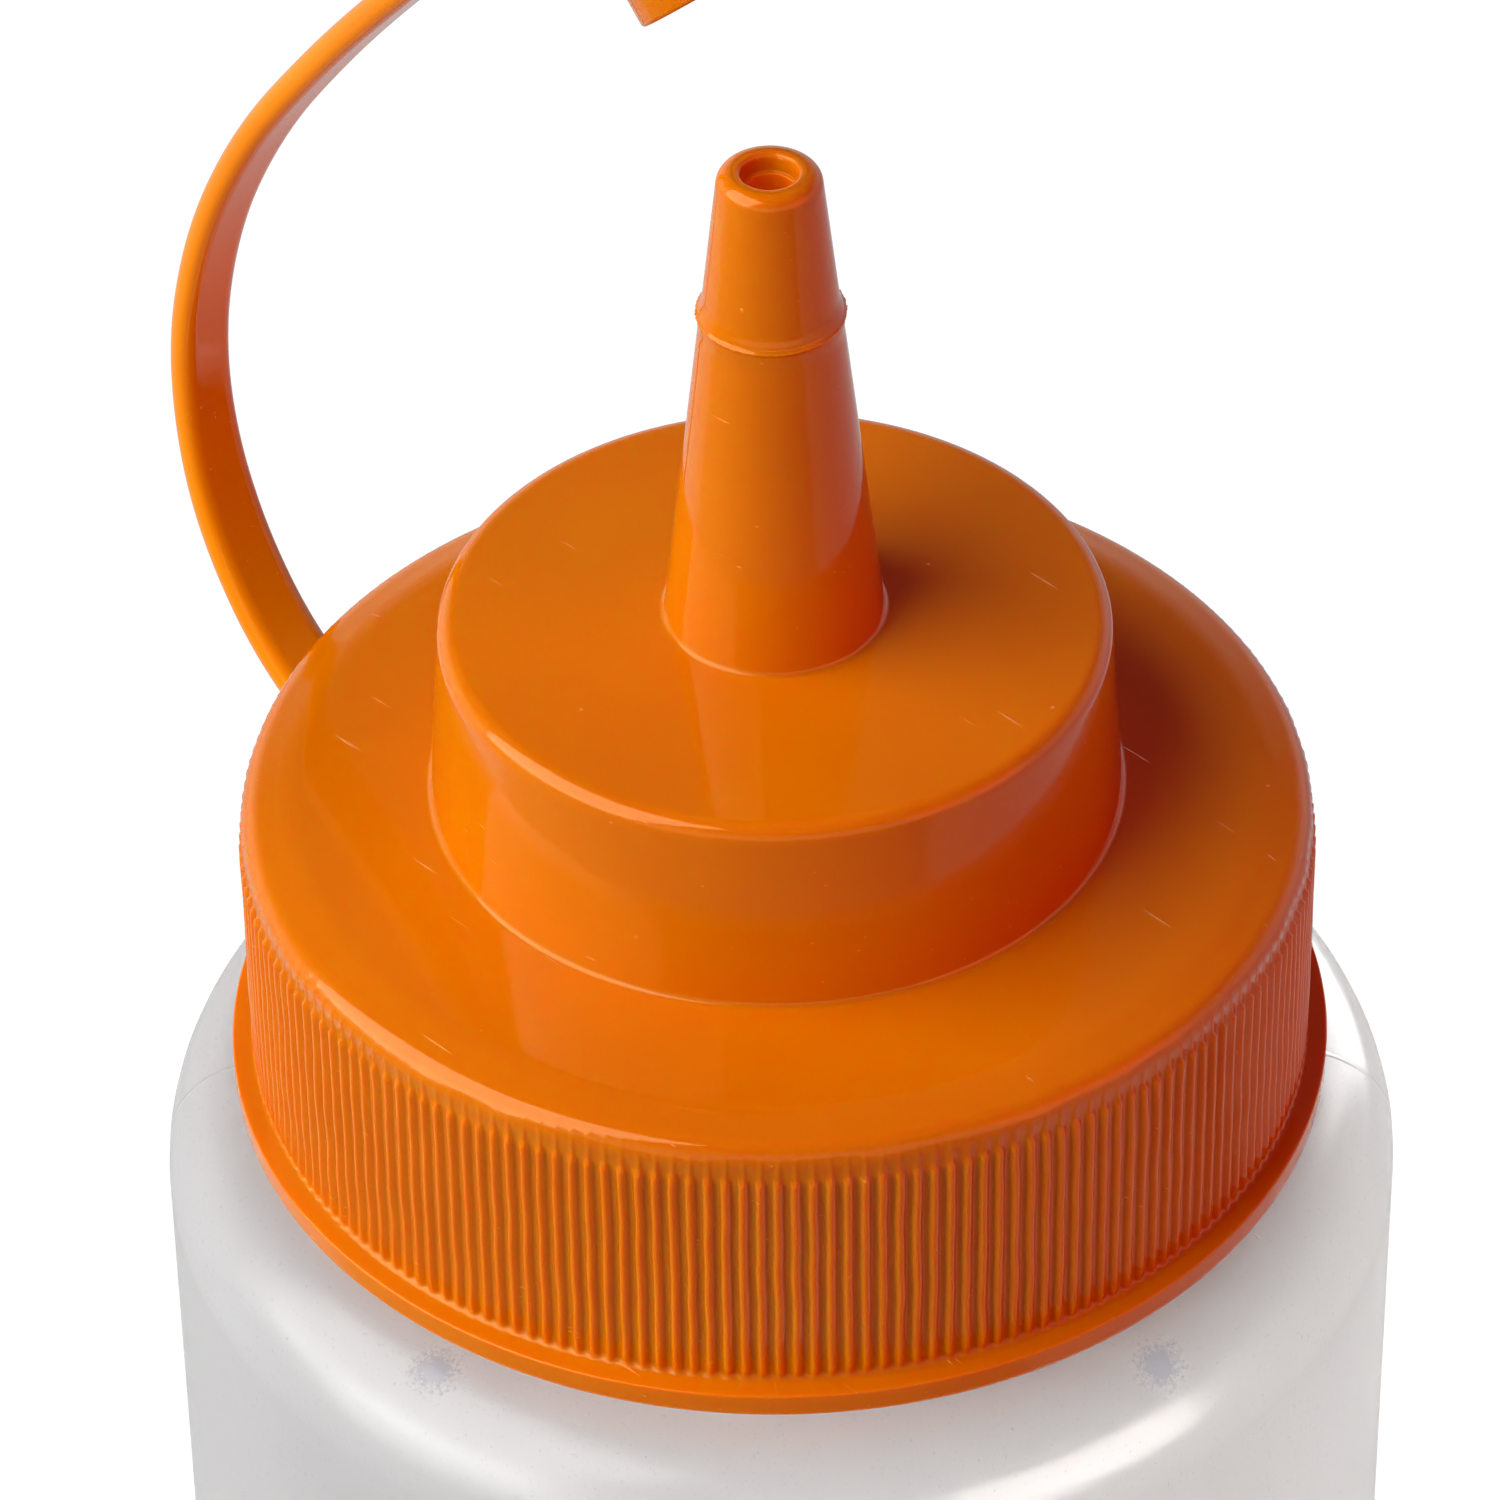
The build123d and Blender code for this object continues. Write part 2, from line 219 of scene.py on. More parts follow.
def pick(piece: Piece, wanted: Callable[[Vector], bool]) -> int:
    """Select the vertices of a piece in edit mode by their place.

    Args:
        piece: The object in edit mode.
        wanted: A test of a vertex's place.

    Returns:
        How many vertices were selected.
    """
    bpy.ops.mesh.select_all(action="DESELECT")
    shape = bmesh.from_edit_mesh(piece.data)
    chosen = [vertex for vertex in shape.verts if wanted(vertex.co)]
    for vertex in chosen:
        vertex.select_set(True)
    shape.select_flush(True)
    bmesh.update_edit_mesh(piece.data)
    return len(chosen)


def spin_about(centre: Vector, axis: Vector, steps: int, angle: float, copies: bool = False) -> None:
    """Spin what is selected, right-handed by an angle about an axis, into a swept face or separate copies."""
    bpy.ops.mesh.spin(steps=steps, angle=-angle, center=centre, axis=axis, dupli=copies)


def turn_round(columns: int, share: float = 1.0, copies: bool = False) -> None:
    """Spin what is selected about the vertical axis, by a share of a whole turn."""
    spin_about(Vector(), Vector((0, 0, 1)), columns, 2 * math.pi * share, copies)


def close_shape(piece: Piece, sharp_angle: float, fill: bool = False) -> Piece:
    """Merge a piece's doubles, point its faces outwards, smooth it and leave edit mode.

    Args:
        piece: The object in edit mode.
        sharp_angle: Edges that turn more than this many degrees stay sharp.
        fill: Whether open ends are filled.

    Returns:
        The same object.
    """
    merge_all()
    if fill:
        bpy.ops.mesh.fill_holes(sides=0)
    bpy.ops.mesh.select_all(action="SELECT")
    bpy.ops.mesh.normals_make_consistent(inside=False)
    bpy.ops.object.mode_set(mode="OBJECT")
    bpy.ops.object.shade_smooth_by_angle(angle=math.radians(sharp_angle))
    return piece


def join(main: Piece, *others: Piece) -> Piece:
    """Join objects into the first one."""
    bpy.ops.object.select_all(action="DESELECT")
    for part in (main, *others):
        part.select_set(True)
    bpy.context.view_layer.objects.active = main
    bpy.ops.object.join()
    return main


def report(piece: Piece) -> None:
    """Log a piece's size, faces and open edges."""
    shape = bmesh.new()
    shape.from_mesh(piece.data)
    open_edges = sum(1 for edge in shape.edges if edge.is_boundary)
    triangles = sum(len(face.verts) - 2 for face in shape.faces)
    shape.free()
    size = tuple(round(side / MM, 2) for side in piece.dimensions)
    LOG.info("%s: %d triangles, %d open edges, %s mm", piece.name, triangles, open_edges, size)


@dataclass(frozen=True)
class ScrewThread:
    """A helical ridge of trapezoid section, whose ends fade into the wall."""

    wall: float
    start: float
    side: ThreadSide
    pitch: float = 4.2
    turns: float = 1.5
    depth: float = 1.3
    root: float = 2.0
    crest: float = 0.9
    sink: float = 0.3
    edge_round: float = 0.25
    fade: int = 10
    end_size: float = 0.12
    steps: int = 144

    def build(self, name: str) -> Piece:
        """Draw the section, carry it round by a Screw modifier, and scale its ends into the wall.

        Args:
            name: The new object's name.

        Returns:
            The ridge.
        """
        way = self.side.value
        inner, outer = self.wall - way * self.sink, self.wall + way * self.depth
        corners = (
            Corner(inner, self.start - self.root / 2),
            Corner(outer, self.start - self.crest / 2, self.edge_round),
            Corner(outer, self.start + self.crest / 2, self.edge_round),
            Corner(inner, self.start + self.root / 2),
        )
        section = rounded(corners, closed=True, step=45, support=self.depth)
        ridge = draw_line(name, upright(section), closed=True)
        bpy.ops.object.mode_set(mode="OBJECT")
        screw = ridge.modifiers.new("lead", "SCREW")
        screw.angle = 2 * math.pi * self.turns
        screw.screw_offset = self.pitch * self.turns * MM
        screw.steps = screw.render_steps = self.steps
        screw.use_merge_vertices = False
        bpy.ops.object.modifier_apply(modifier=screw.name)
        bpy.ops.object.mode_set(mode="EDIT")
        for number in range(self.fade):
            share = number / self.fade
            for from_end in (False, True):
                self.shrink_ring(ridge, number, from_end, share)
        return close_shape(ridge, 50, fill=True)

    def shrink_ring(self, ridge: Piece, number: int, from_end: bool, share: float) -> None:
        """Scale one section towards the wall.

        Args:
            ridge: The ridge in edit mode.
            number: The section's number from that end.
            from_end: Whether it is counted from the upper end.
            share: The scale.
        """
        turn = 2 * math.pi * self.turns / self.steps
        step = self.steps - number if from_end else number
        angle = turn * step
        level = self.start + self.pitch * self.turns * step / self.steps
        out = self.wall - self.side.value * self.sink
        place = Vector((out * math.cos(angle), out * math.sin(angle), level)) * MM
        reach = (self.root + self.depth + self.sink) * MM
        forward = Vector((-math.sin(angle), math.cos(angle), 0))
        slack = turn * out * MM / 3
        pick(ridge, lambda co: (co - place).length < reach and abs((co - place).dot(forward)) < slack)
        size = self.end_size + (1 - self.end_size) * share
        resize((size, size, size), place)


# ------------------------------------------------------------------ finishes
def paint(colour: str) -> tuple[float, float, float, float]:
    """Turn an sRGB hex colour into linear red, green, blue and alpha."""
    parts = [int(colour[at : at + 2], 16) / 255 for at in (1, 3, 5)]
    linear = [part / 12.92 if part <= 0.04045 else ((part + 0.055) / 1.055) ** 2.4 for part in parts]
    return (*linear, 1.0)


@dataclass(frozen=True)
class NodeSheet:
    """A node tree that is being filled, and the coordinates that its patterns follow."""

    tree: bpy.types.NodeTree
    place: Socket

    @classmethod
    def of(cls, block: Material | bpy.types.World, coordinates: str = "Object") -> "NodeSheet":
        """Start a new sheet in a material or a world."""
        block.use_nodes = True
        block.node_tree.nodes.clear()
        texture = block.node_tree.nodes.new("ShaderNodeTexCoord")
        return cls(block.node_tree, texture.outputs[coordinates])

    def add(self, kind: str, inputs: Inputs | None = None, **settings: object) -> bpy.types.Node:
        """Add a node with its settings and links.

        Args:
            kind: The node's type, without ShaderNode before it.
            inputs: Values, or the sockets that feed them, by input name or number.
            **settings: The node's own properties.

        Returns:
            The node.
        """
        node = self.tree.nodes.new(f"ShaderNode{kind}")
        for name, value in settings.items():
            setattr(node, name, value)
        for name, value in (inputs or {}).items():
            if isinstance(value, Socket):
                self.tree.links.new(value, node.inputs[name])
            else:
                node.inputs[name].default_value = value
        return node

    def maths(self, operation: str, *values: Socket | float, clamp: bool = False) -> Socket:
        """One value worked out from others."""
        inputs = dict(enumerate(values))
        return self.add("Math", inputs, operation=operation, use_clamp=clamp).outputs[0]

    def largest(self, *values: Socket) -> Socket:
        """The largest of several values."""
        result = values[0]
        for value in values[1:]:
            result = self.maths("MAXIMUM", result, value)
        return result

    def vector(self, operation: str, result: str, *vectors: Socket | Triple) -> Socket:
        """One result of vector arithmetic, by its output's name."""
        inputs = dict(enumerate(vectors))
        return self.add("VectorMath", inputs, operation=operation).outputs[result]

    def ramp(self, value: Socket, low: float, high: float, ends: Pair = (0.0, 1.0)) -> Socket:
        """Map a value's band to two ends, held outside it.

        Args:
            value: The value.
            low: Where the band starts.
            high: Where it ends.
            ends: The results at both.

        Returns:
            The mapped value.
        """
        inputs = {"Value": value, "From Min": low, "From Max": high, "To Min": ends[0], "To Max": ends[1]}
        return self.add("MapRange", inputs).outputs["Result"]

    def mix(self, share: Socket, low: object, high: object, kind: str = "RGBA") -> Socket:
        """Mix two colours, or two numbers where the kind is FLOAT."""
        return self.add("Mix", {"Factor": share, "A": low, "B": high}, data_type=kind).outputs["Result"]

    def noise(self, size: float, detail: float, roughness: float = 0.5) -> Socket:
        """Soft random patches from zero to one, with a patch's width in millimetres."""
        inputs = {"Vector": self.place, "Scale": 1 / (size * MM), "Detail": detail, "Roughness": roughness}
        return self.add("TexNoise", inputs).outputs["Fac"]

    def bump(self, height: Socket, strength: float, depth: float, below: Socket | None = None) -> Socket:
        """Raise the skin by a height.

        Args:
            height: The height, from zero to one.
            strength: How much of it shows.
            depth: The full height in millimetres.
            below: The relief that it stands on, if any.

        Returns:
            The relief.
        """
        inputs = {"Height": height, "Strength": strength, "Distance": depth * MM}
        if below is not None:
            inputs["Normal"] = below
        return self.add("Bump", inputs).outputs["Normal"]

    def hairs(self, turn: Triple, length: float, width: float) -> Socket:
        """Scatter short fine strokes along one direction.

        Args:
            turn: The direction, as three angles in radians.
            length: Length of a stroke's cell in millimetres. A stroke is about a quarter as long.
            width: Width of its cell in millimetres. A stroke is about a quarter as wide.

        Returns:
            One on a stroke, falling to zero beside it.
        """
        scale = (1 / (length * MM), 1 / (width * MM), 1 / (width * MM))
        inputs = {"Vector": self.place, "Rotation": turn, "Scale": scale}
        grid = self.add("Mapping", inputs, vector_type="POINT").outputs["Vector"]
        cell = self.add("TexVoronoi", {"Vector": grid, "Scale": 1.0})
        # About one cell in twenty holds a stroke
        chosen = self.add("SeparateColor", {0: cell.outputs["Color"]}).outputs["Red"]
        stroke = self.ramp(cell.outputs["Distance"], 0.16, 0.08)
        return self.maths("MULTIPLY", stroke, self.ramp(chosen, 0.952, 0.958))

    def sides(self, heading: float = 0.0) -> list[Socket]:
        """X, Y and Z of the place, as seen from a heading about the vertical in degrees."""
        inputs = {"Vector": self.place, "Angle": -math.radians(heading)}
        seen = self.add("VectorRotate", inputs, rotation_type="Z_AXIS").outputs[0]
        return list(self.add("SeparateXYZ", {0: seen}).outputs)

    def rays(self) -> tuple[Socket, Socket]:
        """Whether a ray looks at the surface, straight or by way of another, and whether it is glossy."""
        path = self.add("LightPath").outputs
        direct = self.maths("ADD", path["Is Camera Ray"], path["Is Glossy Ray"])
        return self.maths("ADD", direct, path["Is Transmission Ray"], clamp=True), path["Is Glossy Ray"]


@dataclass(frozen=True)
class Finish:
    """A material by its name. Each finish says how its surface looks."""

    name: str

    def surface(self, sheet: NodeSheet) -> Socket:
        """The finish's shader."""
        return sheet.add("BsdfPrincipled", self.looks(sheet)).outputs["BSDF"]

    def looks(self, sheet: NodeSheet) -> Inputs:
        """The Principled shader's inputs."""
        return {}

    def material(self) -> Material:
        """Build the node material."""
        material = bpy.data.materials.new(self.name)
        sheet = NodeSheet.of(material)
        sheet.add("OutputMaterial", {"Surface": self.surface(sheet)})
        return material


@dataclass(frozen=True)
class MouldedPolypropylene(Finish):
    """Orange polypropylene, injection-moulded: glossy, faintly wavy, with flow marks, dust and scratches, and
    a painted glow in the nozzle's throat.
    """

    name: str = "orange_polypropylene_injection_moulded"
    colour: str = "#D87800"
    deep_colour: str = "#D27100"
    worn_colour: str = "#F2A040"
    tint: str = "#FFD8A0"
    roughness: Pair = (0.06, 0.10)
    ior: float = 1.49
    subsurface: float = 1.0
    scatter: Triple = (1.0, 0.25, 0.05)
    scatter_mm: float = 0.8
    scratch_turns: tuple[Triple, ...] = ((0.2, 0.3, 0.5), (0.9, -0.4, 1.7), (-0.6, 0.5, 2.6))
    # The nozzle's throat, and the colour and strength of the painted glow in it, which stands in for light
    # through the thin wall
    throat: float = 2.4
    throat_top: float = 259.2
    throat_edge: float = 0.3
    throat_painted_glow: str = "#FF4A00"
    painted_glow_strength: float = 0.14

    def in_throat(self, sheet: NodeSheet) -> Socket:
        """Mask of the nozzle's throat, where a painted glow stands in for light that comes through the thin
        wall.
        """
        flat = sheet.vector("MULTIPLY", "Vector", sheet.place, (1.0, 1.0, 0.0))
        out = sheet.vector("LENGTH", "Value", flat)
        inside = sheet.ramp(out, (self.throat + self.throat_edge) * MM, self.throat * MM)
        top = (self.throat_top + self.throat_edge) * MM
        return sheet.maths("MULTIPLY", inside, sheet.ramp(sheet.sides()[2], top, self.throat_top * MM))

    def looks(self, sheet: NodeSheet) -> Inputs:
        """The Principled shader's inputs."""
        # Flow of the melt: slow drifts of colour, about 18 mm across
        flow = sheet.ramp(sheet.noise(18.0, 3.0), 0.3, 0.7)
        fresh = sheet.mix(flow, paint(self.colour), paint(self.deep_colour))
        # Dust specks: one in a cell of 5 mm, about 0.25 mm across
        dust = sheet.add("TexVoronoi", {"Vector": sheet.place, "Scale": 1 / (5 * MM)}).outputs["Distance"]
        # Hair scratches from handling: 2 to 3 mm long and about 0.1 mm wide, in three directions
        scratches = [sheet.hairs(turn, 9.0, 0.6) for turn in self.scratch_turns]
        marks = sheet.largest(sheet.ramp(dust, 0.03, 0.018), *scratches)
        # Polish of the mould: patches of roughness about 6 mm across
        polish = sheet.noise(6.0, 4.0)
        # Waviness of the moulded skin, about 1.2 mm across
        wave = sheet.bump(sheet.noise(1.2, 2.0), 0.35, 0.02)
        return {
            "Base Color": sheet.mix(sheet.ramp(marks, 0.0, 1.0, (0.0, 0.55)), fresh, paint(self.worn_colour)),
            "Roughness": sheet.ramp(polish, 0.3, 0.7, self.roughness),
            "IOR": self.ior,
            "Specular Tint": paint(self.tint),
            "Subsurface Weight": self.subsurface,
            "Subsurface Radius": self.scatter,
            "Subsurface Scale": self.scatter_mm * MM,
            # Painted glow: emission in the throat stands in for light shining through the nozzle's thin wall
            "Emission Color": paint(self.throat_painted_glow),
            "Emission Strength": sheet.maths("MULTIPLY", self.in_throat(sheet), self.painted_glow_strength),
            "Normal": sheet.bump(marks, 0.6, 0.05, wave),
        }


@dataclass(frozen=True)
class BlownPolyethylene(Finish):
    """Natural low-density polyethylene, blow-moulded: milky, satin, with handling scuffs."""

    name: str = "natural_polyethylene_blow_moulded"
    colour: str = "#E0DFE0"
    roughness: Pair = (0.20, 0.26)
    ior: float = 1.51
    transmission: float = 0.12
    scatter_mm: float = 12.0
    scuff_colour: str = "#A9AEC4"
    scuffs: tuple[tuple[Triple, float], ...] = (
        ((4.4, -36.3, 187.4), 3.0),
        ((37.4, -3.7, 187.0), 3.2),
        ((-18.0, 34.0, 186.0), 2.8),
        ((-33.0, 24.0, 96.0), 3.5),
    )
    scratch_cells: tuple[tuple[Triple, float], ...] = (((0.3, 0.2, 0.8), 16.0), ((-0.5, 0.7, 2.2), 14.0))
    parting: float = 44.5

    def scuffed(self, sheet: NodeSheet) -> Socket:
        """Mask of the mottled scuffs, each given by its place and radius in millimetres."""
        patches = []
        for middle, radius in self.scuffs:
            away = sheet.vector("DISTANCE", "Value", sheet.place, tuple(side * MM for side in middle))
            patches.append(sheet.ramp(away, radius * MM, radius * 0.15 * MM))
        near = sheet.largest(*patches)
        # Mottling of a scuff, about 0.3 mm across, denser towards its middle
        mottle = sheet.noise(0.3, 4.0, 0.7)
        dense = sheet.maths("MULTIPLY_ADD", sheet.maths("MULTIPLY", near, near), 0.43, mottle)
        return sheet.ramp(dense, 0.61, 0.82)

    def relief(self, sheet: NodeSheet, scuff: Socket) -> Socket:
        """Stack the wall's fine relief, up to the scuffs."""
        # Satin skin of the blow mould, about 0.5 mm across
        grain = sheet.bump(sheet.noise(0.5, 2.0), 0.25, 0.02)
        # Parting line of the blow mould: a ridge 0.2 mm wide down both sides
        side = sheet.maths("ABSOLUTE", sheet.sides(self.parting)[1])
        ridge = sheet.bump(sheet.ramp(side, 0.22 * MM, 0.06 * MM), 0.8, 0.06, grain)
        # Hair scratches from handling: 3 to 5 mm long and about 0.1 mm wide, in two directions
        scratches = [sheet.hairs(turn, length, 0.5) for turn, length in self.scratch_cells]
        return sheet.bump(sheet.largest(*scratches, scuff), 0.5, 0.04, ridge)

    def looks(self, sheet: NodeSheet) -> Inputs:
        """The Principled shader's inputs."""
        # Cloudiness of the wall, about 14 mm across
        cloud = sheet.noise(14.0, 3.0)
        scuff = self.scuffed(sheet)
        worn = sheet.ramp(scuff, 0.0, 1.0, (0.0, 0.75))
        return {
            "Base Color": sheet.mix(worn, paint(self.colour), paint(self.scuff_colour)),
            "Roughness": sheet.ramp(cloud, 0.0, 1.0, self.roughness),
            "IOR": self.ior,
            "Transmission Weight": self.transmission,
            "Subsurface Weight": 1.0,
            "Subsurface Radius": (1.0, 1.0, 1.0),
            "Subsurface Scale": self.scatter_mm * MM,
            "Normal": self.relief(sheet, scuff),
        }


@dataclass(frozen=True)
class MouldedSilicone(Finish):
    """White silicone rubber, moulded: soft and matte, with a fine grain."""

    name: str = "white_silicone_moulded"
    colour: str = "#E8E7E2"
    roughness: float = 0.55
    ior: float = 1.41
    scatter_mm: float = 1.0

    def looks(self, sheet: NodeSheet) -> Inputs:
        """The Principled shader's inputs."""
        return {
            "Base Color": paint(self.colour),
            "Roughness": self.roughness,
            "IOR": self.ior,
            "Subsurface Weight": 0.2,
            "Subsurface Scale": self.scatter_mm * MM,
            # Grain of the moulded rubber, about 0.4 mm across
            "Normal": sheet.bump(sheet.noise(0.4, 2.0), 0.3, 0.02),
        }


@dataclass(frozen=True)
class StudioPaper(Finish):
    """White background paper: bright to the eye and in reflections, with the object's shadow on it."""

    name: str = "studio_paper_white"
    colour: str = "#B8B8B8"
    glow: float = 0.7
    bright: float = 1.3
    fade: Pair = (0.4, 1.2)
    heading: float = 44.5
    front: float = 0.15
    sheen: float = 0.66

    def pale_sector(self, sheet: NodeSheet) -> Socket:
        """Mask of the directions in which the studio is white: to the right, behind, and at the far left."""
        x, y, _ = sheet.sides(self.heading)
        angle = sheet.maths("ARCTAN2", x, sheet.maths("MULTIPLY", y, -1.0))
        return sheet.largest(sheet.ramp(angle, 0.80, 0.90), sheet.ramp(angle, -1.65, -1.80))

    def surface(self, sheet: NodeSheet) -> Socket:
        """The paper's shader: matte where light falls on it, glowing where it is looked at."""
        seen, glossy = sheet.rays()
        away = sheet.vector("LENGTH", "Value", sheet.place)
        share = sheet.maths("MULTIPLY", seen, sheet.ramp(away, *self.fade, (self.glow, 1.0)))
        sheen = sheet.ramp(self.pale_sector(sheet), 0.0, 1.0, (self.front, self.sheen))
        strength = sheet.mix(glossy, self.bright, sheen, "FLOAT")
        matte = sheet.add("BsdfDiffuse", {"Color": paint(self.colour)}).outputs[0]
        bright = sheet.add("Emission", {"Color": paint(WHITE), "Strength": strength}).outputs[0]
        return sheet.add("MixShader", {0: share, 1: matte, 2: bright}).outputs[0]


# ------------------------------------------------------------------ lid
@dataclass(frozen=True)
class GripRibs:
    """The fine upright ribs round the lid's skirt.

    Each rib is a rounded ridge. Above its shoulder it is a low spike, which narrows
    and runs out on the lid's edge.
    """

    count: int = 200
    edges: tuple[float, ...] = (0.20, 0.35, 0.50, 0.65, 0.80, 1.0)
    heights: tuple[float, ...] = (0.04, 0.93, 1.0, 0.93, 0.04, 0.0)
    tip: float = 211.35
    shoulder: float = 208.8
    widest: float = 0.27
    depth: tuple[Pair, ...] = (
        (191.95, 0.0),
        (192.25, 0.16),
        (192.6, 0.31),
        (193.0, 0.35),
        (208.45, 0.35),
        (208.7, 0.34),
        (208.95, 0.17),
        (209.6, 0.1),
        (210.4, 0.05),
        (211.35, 0.0),
    )
    least_depth: float = 0.005
    top_levels: tuple[float, ...] = (209.2, 208.95, 208.7, 208.45, 208.0)
    foot_levels: Pair = (193.0, 192.62)
    rows: int = 13
    first_row: float = 207.0
    row_height: float = 1.1
    waver: float = 0.13
    waver_length: float = 3.0
    waver_levels: Pair = (192.9, 210.6)

    @property
    def levels(self) -> list[float]:
        """Heights of the rows of points, from the top: even, but closer together near both ends."""
        rows = [self.first_row - self.row_height * row for row in range(self.rows)]
        return [*self.top_levels, *rows, *self.foot_levels]

    def raise_one(self, piece: Piece, outline: Sequence[Pair], wall: float) -> None:
        """Push the columns of one rib out of the skirt, row by row.

        Args:
            piece: The skirt's sector in edit mode.
            outline: The rows' distance out and height in millimetres.
            wall: Rows further in than this, in millimetres, stay.
        """
        pitch = 2 * math.pi / self.count
        for out, up in outline:
            depth = between(self.depth, up)
            if depth < self.least_depth or out < wall:
                continue
            reach = self.widest * min(1.0, (self.tip - up) / (self.tip - self.shoulder))
            for edge, height in zip(self.edges, self.heights):
                share = height if up < self.shoulder else max(0.0, 1 - abs(edge - 0.5) / max(reach, 0.01))
                if share == 0:
                    continue
                way = Vector((math.cos(edge * pitch), math.sin(edge * pitch), 0))
                place = (way * out + Vector((0, 0, up))) * MM
                pick(piece, lambda co: (co - place).length < HERE)
                bpy.ops.transform.translate(value=way * depth * share * MM)

    def waver_crests(self, piece: Piece, wall: float) -> None:
        """Let the ribs waver a little, as cut in the mould by hand tools.

        Args:
            piece: The whole ribbed part in edit mode. It is left in object mode.
            wall: Distance out, in millimetres, beyond which a point belongs to a rib.
        """
        low, high = (level * MM for level in self.waver_levels)
        pick(piece, lambda co: low < co.z < high and math.hypot(co.x, co.y) > wall * MM)
        bpy.ops.object.vertex_group_add()
        bpy.ops.object.vertex_group_assign()
        bpy.ops.object.mode_set(mode="OBJECT")
        texture = bpy.data.textures.new("rib_waver", "CLOUDS")
        texture.cloud_type, texture.noise_scale, texture.noise_depth = "COLOR", self.waver_length * MM, 0
        waver = piece.modifiers.new("waver", "DISPLACE")
        waver.texture, waver.texture_coords, waver.direction = texture, "LOCAL", "RGB_TO_XYZ"
        waver.strength, waver.mid_level = self.waver * MM, 0.5
        waver.vertex_group = piece.vertex_groups[0].name
        bpy.ops.object.modifier_apply(modifier=waver.name)
        piece.vertex_groups.clear()


@dataclass(frozen=True)
class ScrewLid:
    """The lid: ribbed skirt with a flange, plate, plateau, nozzle with a bead, plug and inside thread."""

    skirt_bore: float = 33.0
    skirt: float = 34.65
    skirt_bottom: float = 190.1
    flange: float = 36.3
    flange_top: float = 191.9
    face: float = 212.4
    face_fall: float = 0.35
    face_margin: float = 3.1
    rib_margin: float = 1.2
    underside: float = 210.4
    plateau: float = 22.4
    plateau_top: float = 226.05
    plateau_top_radius: float = 21.49
    plateau_wall: float = 1.7
    nozzle_foot: float = 226.55
    nozzle_base: float = 6.95
    nozzle_tip: float = 260.8
    nozzle_tip_radius: float = 3.114
    nozzle_wall: float = 1.35
    tip_drop: float = 0.15
    bead: float = 250.05
    bead_foot: tuple[Pair, ...] = ((-1.7, 0.1), (-1.35, 0.1), (-1.0, 0.13), (-0.65, 0.20), (-0.3, 0.24))
    bead_crest: tuple[Pair, ...] = ((-0.1, 0.25), (-0.06, 0.37), (0.0, 0.39), (0.06, 0.37), (0.1, 0.25))
    bead_head: tuple[Pair, ...] = ((0.3, 0.23), (0.6, 0.16), (0.9, 0.09), (1.15, 0.07), (1.5, 0.07))
    flash: float = 0.08
    orifice: float = 1.78
    orifice_end: float = 259.4
    throat: float = 1.5
    throat_end: float = 257.9
    bore_top: float = 255.9
    plug: Pair = (27.8, 29.0)
    plug_end: float = 207.1
    join_plate: Pair = (29.0, 29.5)
    join_rim: Pair = (33.5, 34.0)
    join_slack: float = 0.1
    core_columns: int = 200
    ribs: GripRibs = field(default_factory=GripRibs)
    thread: ScrewThread = ScrewThread(33.0, 198.35, ThreadSide.INSIDE)

    def nozzle_radius(self, level: float) -> float:
        """Outer radius of the nozzle's cone at a height, in millimetres."""
        share = (level - self.nozzle_foot) / (self.nozzle_tip - self.nozzle_foot)
        return self.nozzle_base + (self.nozzle_tip_radius - self.nozzle_base) * share

    def plate_level(self, out: float) -> float:
        """Height of the plate's shallow cone at a distance from the axis, in millimetres."""
        share = (out - self.plateau) / (self.skirt - self.face_margin - self.plateau)
        return self.face - self.face_fall * share

    def shell_outline(self) -> list[Pair]:
        """Outline of the ribbed part, from the plate over the edge and down to the rim."""
        start, end = self.join_plate[1], self.join_rim[1]
        corners = [
            Corner(start, self.plate_level(start)),
            Corner(self.skirt - self.face_margin, self.face - self.face_fall, 6.0),
            Corner(self.skirt + 0.175, self.face - 1.15, 1.5),
        ]
        corners += [Corner(self.skirt, level) for level in self.ribs.levels]
        corners += [
            Corner(self.skirt, self.flange_top + 0.05, 0.55),
            Corner(self.flange, self.flange_top, 0.14),
            Corner(self.flange, self.skirt_bottom, 0.4),
            Corner(end, self.skirt_bottom),
        ]
        return rounded(corners)

    def core_outline(self) -> list[Pair]:
        """Outline of the rest: plate, plateau, nozzle, bore, underside, plug and inside of the skirt."""
        start, end = self.join_plate[0], self.join_rim[0]
        swell = (*self.bead_foot, *self.bead_crest, *self.bead_head)
        levels = [(self.bead + up, proud) for up, proud in swell]
        bead = [Corner(self.nozzle_radius(level) + proud, level) for level, proud in levels]
        tip = self.nozzle_tip - self.tip_drop
        corners = [
            Corner(start, self.plate_level(start)),
            Corner(self.plateau, self.face, 0.4),
            Corner(self.plateau_top_radius, self.plateau_top, 1.15),
            Corner(self.nozzle_base + 0.1, self.nozzle_foot, 0.4),
            *bead,
            Corner(self.nozzle_radius(tip) + 0.08, tip, 1.0),
            Corner(self.orifice, tip, 0.35),
            Corner(self.orifice - 0.05, self.orifice_end, 0.1),
            Corner(self.throat, self.orifice_end - 0.05, 0.1),
            Corner(self.throat, self.throat_end),
            Corner(self.nozzle_radius(self.bore_top) - self.nozzle_wall, self.bore_top),
            Corner(self.nozzle_base - self.nozzle_wall, self.plateau_top - self.plateau_wall, 0.4),
            Corner(self.plateau_top_radius - self.plateau_wall, self.plateau_top - self.plateau_wall, 0.4),
            Corner(self.plateau - self.plateau_wall, self.underside, 0.4),
            Corner(self.plug[0], self.underside),
            Corner(self.plug[0], self.plug_end, 0.4),
            Corner(self.plug[1], self.plug_end, 0.4),
            Corner(self.plug[1], self.underside),
            Corner(self.skirt_bore, self.underside, 0.3),
            Corner(self.skirt_bore, self.skirt_bottom, 0.4),
            Corner(end, self.skirt_bottom),
        ]
        return rounded(corners)

